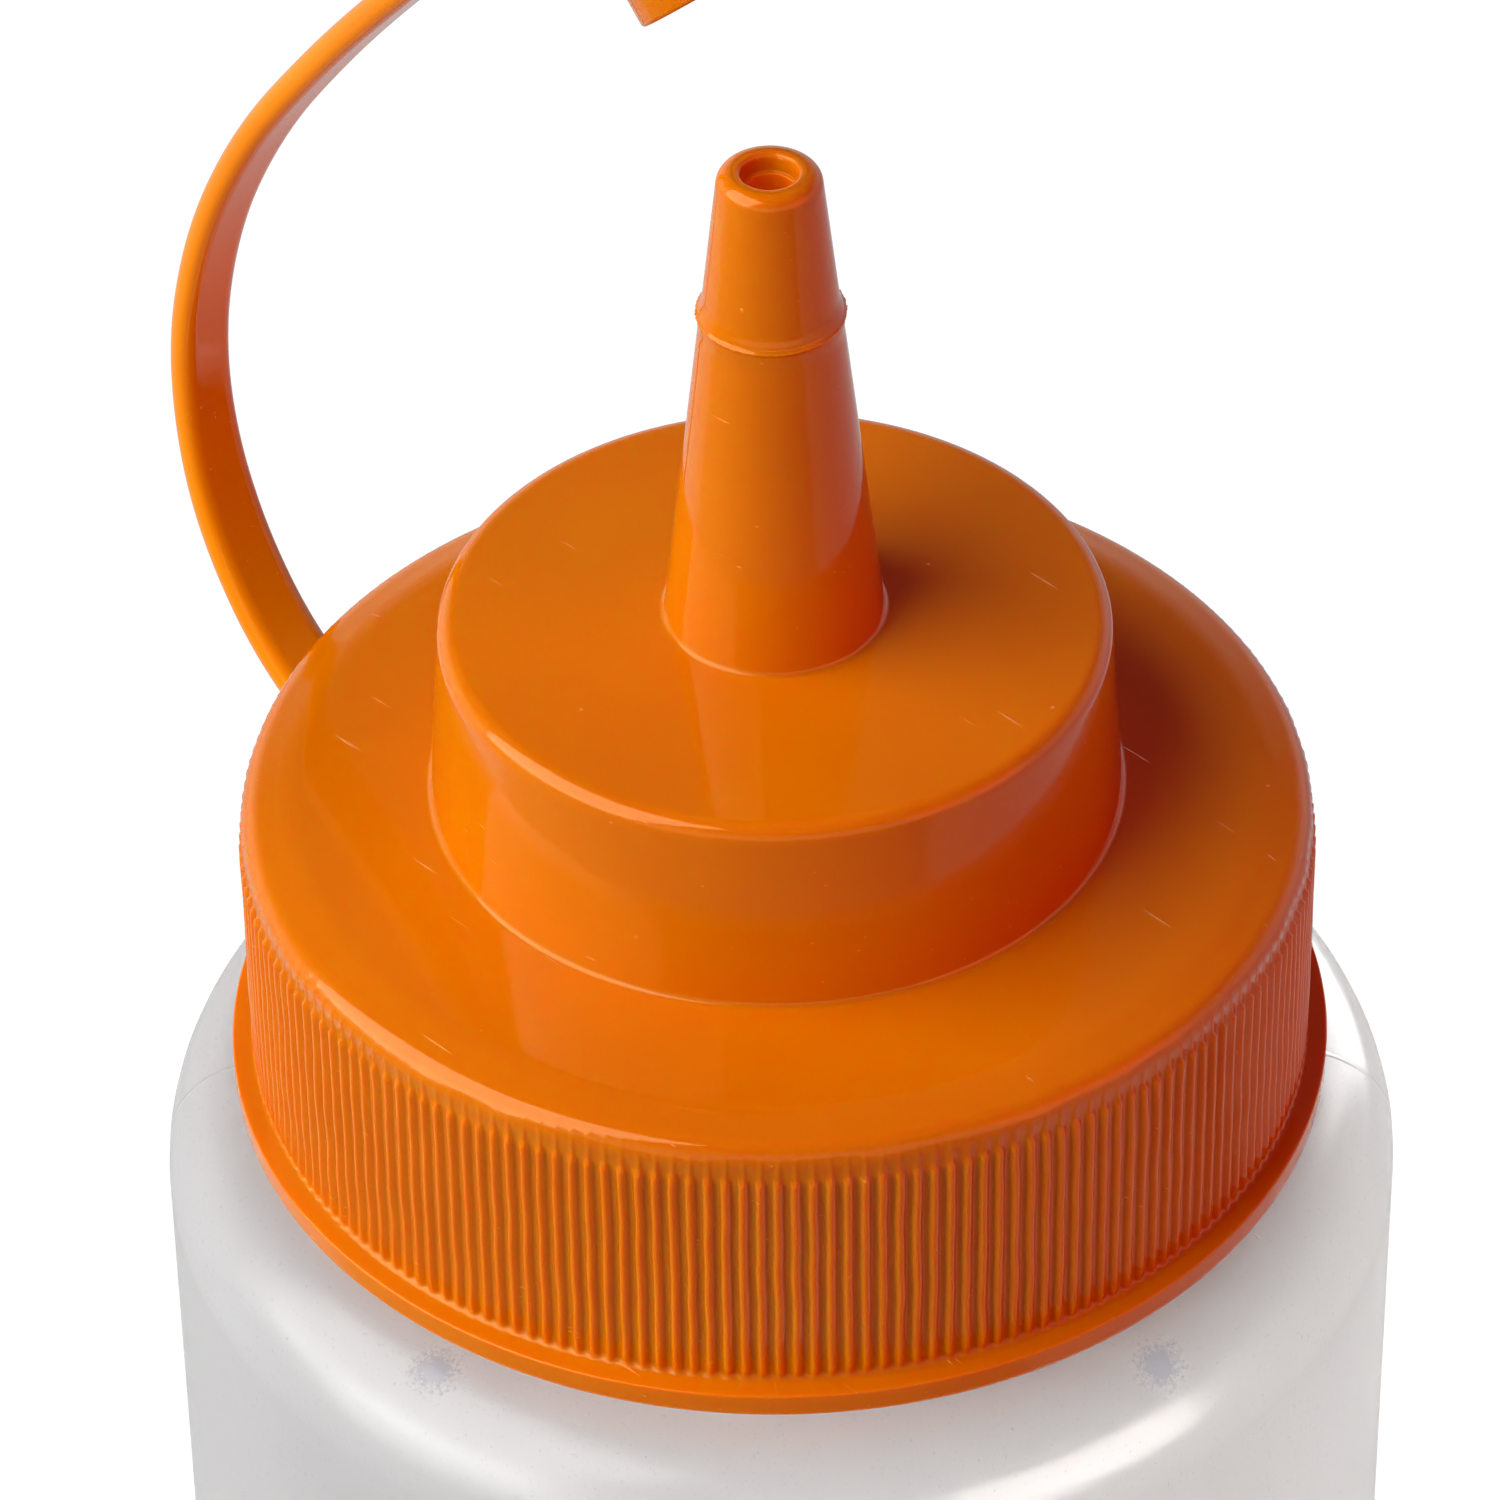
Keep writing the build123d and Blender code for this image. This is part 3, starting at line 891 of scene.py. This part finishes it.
    def build_shell(self) -> Piece:
        """Model one rib's sector, then copy it round the axis."""
        outline = self.shell_outline()
        piece = draw_line("lid", upright(outline))
        last = 0.0
        for edge in self.ribs.edges:
            turn_round(1, (edge - last) / self.ribs.count)
            last = edge
        merge_all()
        self.ribs.raise_one(piece, outline, self.skirt - self.rib_margin)
        bpy.ops.mesh.select_all(action="SELECT")
        copies = self.ribs.count - 1
        turn_round(copies, copies / self.ribs.count, copies=True)
        merge_all()
        self.ribs.waver_crests(piece, self.skirt + 0.008)
        return piece

    def build_core(self) -> Piece:
        """Turn the plateau, nozzle and inside, with an uneven line of flash on the bead."""
        core = draw_line("lid_core", upright(self.core_outline()))
        turn_round(self.core_columns)
        level = self.bead * MM
        pick(core, lambda co: abs(co.z - level) < HERE)
        bpy.ops.transform.vertex_random(offset=self.flash * MM, uniform=0.2, normal=0.0, seed=11)
        bpy.ops.object.mode_set(mode="OBJECT")
        return core

    def bridge(self, lid: Piece, ring: Pair, in_plate: bool) -> None:
        """Close the gap between the ribbed part and the rest by a band of faces.

        Args:
            lid: The lid in edit mode.
            ring: The distances from the axis between which the gap lies, in millimetres.
            in_plate: Whether the gap is in the plate and not in the rim.
        """
        near, far = (ring[0] - self.join_slack) * MM, (ring[1] + self.join_slack) * MM
        over, under = (self.underside + 1) * MM, (self.skirt_bottom + 0.01) * MM

        def beside(co: Vector) -> bool:
            """Whether a place is on the gap's edges."""
            return near < math.hypot(co.x, co.y) < far and (co.z > over if in_plate else co.z < under)

        pick(lid, beside)
        bpy.ops.mesh.bridge_edge_loops()

    def build(self, finish: Material) -> Piece:
        """Build the whole lid in its finish and let it ride on its body."""
        lid = join(self.build_shell(), self.build_core())
        bpy.ops.object.mode_set(mode="EDIT")
        self.bridge(lid, self.join_plate, in_plate=True)
        self.bridge(lid, self.join_rim, in_plate=False)
        close_shape(lid, 75)
        join(lid, self.thread.build("lid_thread"))
        coat(lid, finish)
        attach(lid, "lid")
        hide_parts("lid")
        return lid


# ------------------------------------------------------------------ strap and tip cap
@dataclass(frozen=True)
class Station:
    """A place on the strap's centreline: distance out and height in millimetres, and heading in degrees."""

    out: float
    level: float
    heading: float

    def along(self, length: float, turn: float) -> "Station":
        """Follow an arc that turns towards the axis.

        Args:
            length: The arc's length in millimetres.
            turn: Its turn in degrees.

        Returns:
            The station at its end.
        """
        half = math.radians(turn) / 2
        chord = length * math.sin(half) / half if turn else length
        way = math.radians(self.heading) + half
        out, level = self.out + chord * math.cos(way), self.level + chord * math.sin(way)
        return Station(out, level, self.heading + turn)

    def offset(self, across: float, left: float = 0.0) -> Vector:
        """A point beside the station in metres: across the strap, and to the left of its heading."""
        normal = math.radians(self.heading + 90)
        out, level = self.out + left * math.cos(normal), self.level + left * math.sin(normal)
        return Vector((-out, across, level)) * MM

    @property
    def point(self) -> Vector:
        """The station's place in metres."""
        return self.offset(0.0)


@dataclass(frozen=True)
class Arc:
    """A stretch of the strap's centreline: first station, length in millimetres and turn in degrees."""

    start: Station
    length: float
    turn: float

    def at(self, share: float) -> Station:
        """The station at a share of the way."""
        return self.start.along(self.length * share, self.turn * share)

    def sweep(self, share: float, steps: int) -> None:
        """Spin the selected section about the arc's centre, along a share of the arc."""
        centre = self.start.offset(0.0, self.length / math.radians(self.turn))
        spin_about(centre, Vector((0, 1, 0)), steps, math.radians(self.turn) * share)


@dataclass(frozen=True)
class TetherStrap:
    """The flexible band between the lid's flange and the tip cap, one piece for each bend."""

    width: float = 4.0
    thickness: float = 2.0
    edge_round: float = 0.8
    widths: tuple[Pair, ...] = (
        (-2.0, 5.3),
        (15.0, 5.0),
        (24.0, 4.85),
        (34.0, 4.5),
        (45.0, 4.35),
        (60.0, 4.25),
        (80.0, 4.0),
        (120.0, 4.0),
    )
    lean: tuple[Pair, ...] = ((-2.0, 0.65), (70.0, 0.7), (95.0, 0.0), (120.0, 0.0))
    root: float = 36.3
    level: float = 191.0
    root_length: float = 4.0
    root_turn: float = 18.3
    link_length: float = 12.4
    link_turns: tuple[float, ...] = (35.9, 26.0, 21.4, 14.9, 10.6, 4.2, 2.4, 2.4)
    tail_length: float = 6.0
    tail_turn: float = 1.2
    bend_reach: float = 5.0
    bend_share: float = 0.8
    root_sink: float = 1.4
    tail_sink: float = 0.75
    root_flare: float = 1.5
    flare_rings: int = 8
    flare_share: float = 0.8
    back_step: float = 1.5
    ahead_step: float = 3.0
    least_steps: int = 4
    ring_slack: float = 0.05

    def arcs(self) -> list[Arc]:
        """The root, the links and the tail, in order."""
        arcs = [Arc(Station(self.root, self.level, 0.0), self.root_length, self.root_turn)]
        for turn in self.link_turns:
            arcs.append(Arc(arcs[-1].at(1.0), self.link_length, turn))
        arcs.append(Arc(arcs[-1].at(1.0), self.tail_length, self.tail_turn))
        return arcs

    def section(self, station: Station) -> list[Vector]:
        """The strap's rounded section at a station, in metres."""
        side, half = self.width / 2, self.thickness / 2
        places = ((-side, -half), (side, -half), (side, half), (-side, half))
        corners = [Corner(x, y, self.edge_round) for x, y in places]
        return [station.offset(across, left) for across, left in rounded(corners, True, 23, 0.15)]

    def trim_ring(self, piece: Piece, station: Station, travel: float) -> None:
        """Give one section of a swept piece the band's width and sideways place there.

        Args:
            piece: The piece in edit mode.
            station: The section's station.
            travel: Its distance along the band from the root, in millimetres.
        """
        way = math.radians(station.heading)
        forward = Vector((-math.cos(way), 0, math.sin(way)))
        place = station.point
        reach, slack = self.width * MM, self.ring_slack * MM
        if pick(piece, lambda co: (co - place).length < reach and abs((co - place).dot(forward)) < slack):
            resize((1, between(self.widths, travel) / self.width, 1), place)
            bpy.ops.transform.translate(value=(0, between(self.lean, travel) * MM, 0))

    def build_bend(self, number: int, before: Arc, after: Arc, travel: float) -> Piece:
        """Sweep the band across one bend, from the middle of a stretch to the middle of the next.

        Args:
            number: The bend's number, from the root.
            before: The stretch before the bend.
            after: The stretch after it.
            travel: The bend's distance along the band from the root, in millimetres.

        Returns:
            The piece.
        """
        first, last = number == 1, number == len(self.link_turns) + 1
        rings: list[tuple[Station, float]] = []
        from_share = 0.0 if first else 0.5
        begin = before.at(from_share)
        if first:
            begin = Station(begin.out - self.root_sink, begin.level, begin.heading)
        piece = draw_line(f"strap_{number}", self.section(begin), True)
        if first:
            extrude(before.start.point - begin.point)
            rings.append((begin, -self.root_sink))
        steps = max(self.least_steps, math.ceil(before.turn * (1.0 - from_share) / self.back_step))
        before.sweep(1.0 - from_share, steps)
        for step in range(steps + 1):
            share = from_share + (1.0 - from_share) * step / steps
            rings.append((before.at(share), travel - before.length * (1 - share)))
        to_share = 1.0 if last else 0.5
        steps = max(self.least_steps, math.ceil(after.turn / self.ahead_step))
        after.sweep(to_share, steps)
        for step in range(1, steps + 1):
            share = to_share * step / steps
            rings.append((after.at(share), travel + after.length * share))
        if last:
            end = after.at(1.0)
            extrude(end.along(self.tail_sink, 0.0).point - end.point)
        for station, place in rings:
            self.trim_ring(piece, station, place)
        if first:
            self.flare_root(piece)
        return close_shape(piece, 50, fill=True)

    def flare_root(self, piece: Piece) -> None:
        """Widen the root where it grows out of the flange."""
        step = self.root_length * self.flare_share / (self.flare_rings - 1)
        centre = (0, between(self.lean, 0.0) * MM, self.level * MM)
        for ring in range(self.flare_rings):
            near, far = self.root + step * (ring - 1), self.root + step * ring
            share = 1 - ring / self.flare_rings
            if pick(piece, lambda co: near * MM - HERE < -co.x < far * MM - HERE):
                resize((1, 1 + (self.root_flare - 1) * share * share, 1), centre)
        # The end that is sunk in the flange
        if pick(piece, lambda co: -co.x < (self.root - self.root_sink / 2) * MM):
            resize((1, self.root_flare, 1), centre)

    def build(self, finish: Material) -> list[Piece]:
        """Build a piece for each bend.

        Args:
            finish: The strap's material.

        Returns:
            The pieces, from the lid to the tip cap.
        """
        arcs = self.arcs()
        links = len(self.link_turns)
        pieces = []
        travel = 0.0
        for number, (before, after) in enumerate(zip(arcs, arcs[1:]), start=1):
            travel += before.length
            piece = self.build_bend(number, before, after, travel)
            coat(piece, finish)
            back = min(self.bend_reach, before.length * self.bend_share)
            ahead = min(self.bend_reach, after.length * self.bend_share)
            start = before.at(1 - back / before.length).point
            end = after.at(ahead / after.length).point
            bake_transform(piece)
            if number <= links:
                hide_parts(f"strap_link_{number}")
            pieces.append(piece)
        return pieces


@dataclass(frozen=True)
class TipCap:
    """The cup at the strap's end, which closes over the nozzle's tip."""

    tail: Station
    radius: float = 5.411
    height: float = 11.15
    depth: float = 9.75
    mouth: float = 4.311
    end: float = 3.8725
    half_strap: float = 1.0
    dimple: float = 0.12
    columns: int = 96

    def build(self, finish: Material) -> Piece:
        """Turn the cup about its own axis, in its finish, and let it ride on its body."""
        heading = math.radians(self.tail.heading)
        reach = Vector((-math.cos(heading), 0, math.sin(heading)))
        up = Vector((-math.sin(heading), 0, -math.cos(heading)))
        middle = self.tail.along(self.radius, 0.0).point - up * (self.height - self.half_strap) * MM
        corners = [
            Corner(0, self.height - self.dimple),
            Corner(0.5, self.height - self.dimple),
            Corner(0.65, self.height),
            Corner(self.radius - 0.06, self.height, 0.6),
            Corner(self.radius, 0, 0.25),
            Corner(self.mouth + 0.05, 0, 0.2),
            Corner(self.mouth - 0.03, 0.7),
            Corner(self.end, self.depth, 0.5),
            Corner(0, self.depth),
        ]
        line = [middle + (reach * out + up * level) * MM for out, level in rounded(corners)]
        cap = draw_line("tip_cap_cup", line)
        spin_about(middle, up, self.columns, 2 * math.pi)
        close_shape(cap, 50)
        coat(cap, finish)
        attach(cap, "cap")
        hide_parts("tip_cap")
        return cap


# ------------------------------------------------------------------ bottle and seal
@dataclass(frozen=True)
class BlownBottle:
    """The squeezable body: thin wall, recessed base, rounded shoulder and a wide threaded neck."""

    radius: float = 41.1
    wall: float = 1.0
    shoulder: float = 188.0
    foot_round: float = 6.0
    shoulder_round: float = 7.1
    floor: float = 1.8
    recess: float = 0.8
    groove: Triple = (24.0, 31.0, 0.8)
    neck: float = 31.3
    lip: float = 209.4
    bore: float = 29.3
    columns: int = 240
    thread: ScrewThread = ScrewThread(31.3, 200.1, ThreadSide.OUTSIDE)

    def outline(self) -> list[Pair]:
        """Outline of the wall, from the outside of the base over the lip to the inside of the base."""
        near, far, slope = self.groove
        corners = [
            Corner(0, self.recess + 0.1),
            Corner(20, self.recess, 4.0),
            Corner(near, 0, 0.5),
            Corner(near + slope, self.recess, 0.3),
            Corner(far - slope, self.recess, 0.3),
            Corner(far, 0, 0.5),
            Corner(self.radius, 0, self.foot_round),
            Corner(self.radius, self.shoulder, self.shoulder_round),
            Corner(self.neck, self.shoulder, 1.0),
            Corner(self.neck, self.lip, 0.4),
            Corner(self.bore, self.lip, 0.4),
            Corner(self.bore, self.shoulder - self.wall, 0.8),
            Corner(self.radius - self.wall, self.shoulder - self.wall, self.shoulder_round - self.wall),
            Corner(self.radius - self.wall, self.floor, self.foot_round - self.wall),
            Corner(0, self.floor),
        ]
        return rounded(corners, step=9)

    def build(self, finish: Material) -> Piece:
        """Turn the wall, add its thread and finish, and let it ride on its body."""
        bottle = draw_line("bottle_body", upright(self.outline()))
        turn_round(self.columns)
        close_shape(bottle, 40)
        join(bottle, self.thread.build("neck_thread"))
        coat(bottle, finish)
        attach(bottle, "bottle")
        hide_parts("bottle")
        return bottle


@dataclass(frozen=True)
class SealingRing:
    """The flat ring between the neck's lip and the lid, kept as it is modelled."""

    node: str = "seal_ring"

    def dress(self, finish: Material) -> Piece:
        """Give the ring its material."""
        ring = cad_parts[self.node]
        coat(ring, finish)
        return ring


# ------------------------------------------------------------------ studio
@dataclass(frozen=True)
class SoftLight:
    """A square soft light: where it stands, its side in metres, its power in watts, and what it lights.

    It can light only one slot, miss one slot, and pass through one slot without a shadow.
    """

    name: str
    place: Triple
    side: float
    power: float
    colour: str = WHITE
    only: Slot | None = None
    misses: Slot | None = None
    passes: Slot | None = None


@dataclass(frozen=True)
class Studio:
    """Camera, lights, paper floor and surroundings. Lights are placed as seen from the camera's heading."""

    stand: Triple = (277.52, -282.40, 546.64)
    heading: float = 44.5
    pan: float = -0.0043
    pitch: float = 0.6978
    roll: float = -0.0149
    lens: float = 192.0
    sensor: float = 36.0
    clip: Pair = (0.01, 20.0)
    target: Triple = (0.0, 0.0, 0.21)
    floor_side: float = 6.0
    ambient: float = 0.065
    ambient_tint: str = "#FFDED8"
    overhead: Pair = (0.25, 0.55)
    overhead_share: float = 0.12
    lights: tuple[SoftLight, ...] = (
        SoftLight("key", (-1.92, -0.62, 1.58), 2.96, 130.0, misses=Slot.BODY),
        SoftLight("key_on_bottle", (-1.92, -0.62, 1.58), 2.96, 112.0, only=Slot.BODY, passes=Slot.ORANGE),
        SoftLight("pale_card", (0.90, -0.80, 0.04), 1.0, 31.0, "#FFF8F4", only=Slot.BODY),
        SoftLight("left_card", (-1.00, -0.65, 0.00), 1.0, 9.0, only=Slot.BODY),
        SoftLight("back_card", (0.45, 1.10, 0.20), 1.0, 22.0, only=Slot.BODY),
        SoftLight("warm_card", (0.92, -0.50, 0.42), 0.8, 4.8, "#FF4018", only=Slot.ORANGE),
    )

    def build_camera(self) -> Piece:
        """Place the camera."""
        data = bpy.data.cameras.new("camera")
        data.sensor_width, data.lens = self.sensor, self.lens
        data.clip_start, data.clip_end = self.clip
        camera = bpy.data.objects.new("camera", data)
        bpy.context.scene.collection.objects.link(camera)
        turn = Matrix.Rotation(math.radians(self.heading) - self.pan, 4, "Z")
        tilt = Matrix.Rotation(math.pi / 2 - self.pitch, 4, "X")
        roll = Matrix.Rotation(self.roll, 4, "Z")
        camera.matrix_world = Matrix.Translation(Vector(self.stand) * MM) @ turn @ tilt @ roll
        bpy.context.scene.camera = camera
        return camera

    def build_lights(self) -> None:
        """Place the soft lights, each facing the object."""
        facing = Matrix.Rotation(math.radians(self.heading), 3, "Z")
        target = Vector(self.target)
        for light in self.lights:
            data = bpy.data.lights.new(light.name, "AREA")
            data.shape, data.size, data.energy = "SQUARE", light.side, light.power
            data.color = paint(light.colour)[:3]
            lamp = bpy.data.objects.new(light.name, data)
            bpy.context.scene.collection.objects.link(lamp)
            lamp.location = target + facing @ Vector(light.place)
            lamp.rotation_euler = (target - lamp.location).to_track_quat("-Z", "Y").to_euler()

    def share_lights(self, pieces: dict[Slot, list[Piece]]) -> None:
        """Keep each light on the pieces it is meant for, and let it pass the pieces it ignores.

        Args:
            pieces: The finished pieces by slot.
        """

        def group(name: str, slot: Slot, state: str) -> bpy.types.Collection:
            """Collect a slot's pieces, to be included or excluded."""
            linked = bpy.data.collections.new(name)
            for piece in pieces[slot]:
                linked.objects.link(piece)
            for entry in linked.collection_objects:
                entry.light_linking.link_state = state
            return linked

        for light in self.lights:
            linking = bpy.data.objects[light.name].light_linking
            if light.only:
                linking.receiver_collection = group(f"{light.name}_lights", light.only, "INCLUDE")
            if light.misses:
                linking.receiver_collection = group(f"{light.name}_misses", light.misses, "EXCLUDE")
            if light.passes:
                linking.blocker_collection = group(f"{light.name}_passes", light.passes, "EXCLUDE")

    def build_surroundings(self) -> None:
        """Light the object evenly from all round, and show a white studio that dims overhead."""
        world = bpy.data.worlds.new("studio")
        sheet = NodeSheet.of(world, "Generated")
        height = sheet.sides()[2]
        wall = sheet.ramp(height, *self.overhead, (1.0, self.overhead_share))
        seen, _ = sheet.rays()
        level = sheet.mix(seen, self.ambient, wall, "FLOAT")
        tint = sheet.mix(seen, paint(self.ambient_tint), paint(WHITE))
        glow = sheet.add("Background", {"Color": tint, "Strength": level}).outputs[0]
        sheet.add("OutputWorld", {"Surface": glow})
        bpy.context.scene.world = world

    def build_floor(self, finish: Material) -> Piece:
        """Lay the paper floor."""
        bpy.ops.object.select_all(action="DESELECT")
        bpy.ops.mesh.primitive_plane_add(size=self.floor_side, location=(0, 0, 0))
        floor = bpy.context.object
        floor.name = "floor"
        coat(floor, finish)
        return floor

    def build(self, paper: Material) -> None:
        """Build the whole studio and set plain viewing."""
        bpy.context.scene.view_settings.view_transform = "Standard"
        self.build_camera()
        self.build_lights()
        self.build_surroundings()
        self.build_floor(paper)


def main() -> None:
    """Build the bottle's pieces in order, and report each."""
    logging.basicConfig(level=logging.INFO, format="%(name)s %(message)s")
    studio = Studio()
    studio.build(StudioPaper().material())
    orange = MouldedPolypropylene().material()
    # The strap's copy of the orange plastic has no scatter, so its colours are painted lighter to stand in
    # for the light that scatter carries
    band = MouldedPolypropylene("orange_polypropylene_band_painted_lighter", "#F48A00", "#EE8200", subsurface=0.0)
    strap = TetherStrap()
    pieces = {
        Slot.BODY: [BlownBottle().build(BlownPolyethylene().material())],
        Slot.SEAL: [SealingRing().dress(MouldedSilicone().material())],
        Slot.ORANGE: [
            ScrewLid().build(orange),
            *strap.build(band.material()),
            TipCap(strap.arcs()[-1].at(1.0)).build(orange),
        ],
    }
    studio.share_lights(pieces)
    for group in pieces.values():
        for piece in group:
            report(piece)
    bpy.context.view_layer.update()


if __name__ == "__main__":
    main()
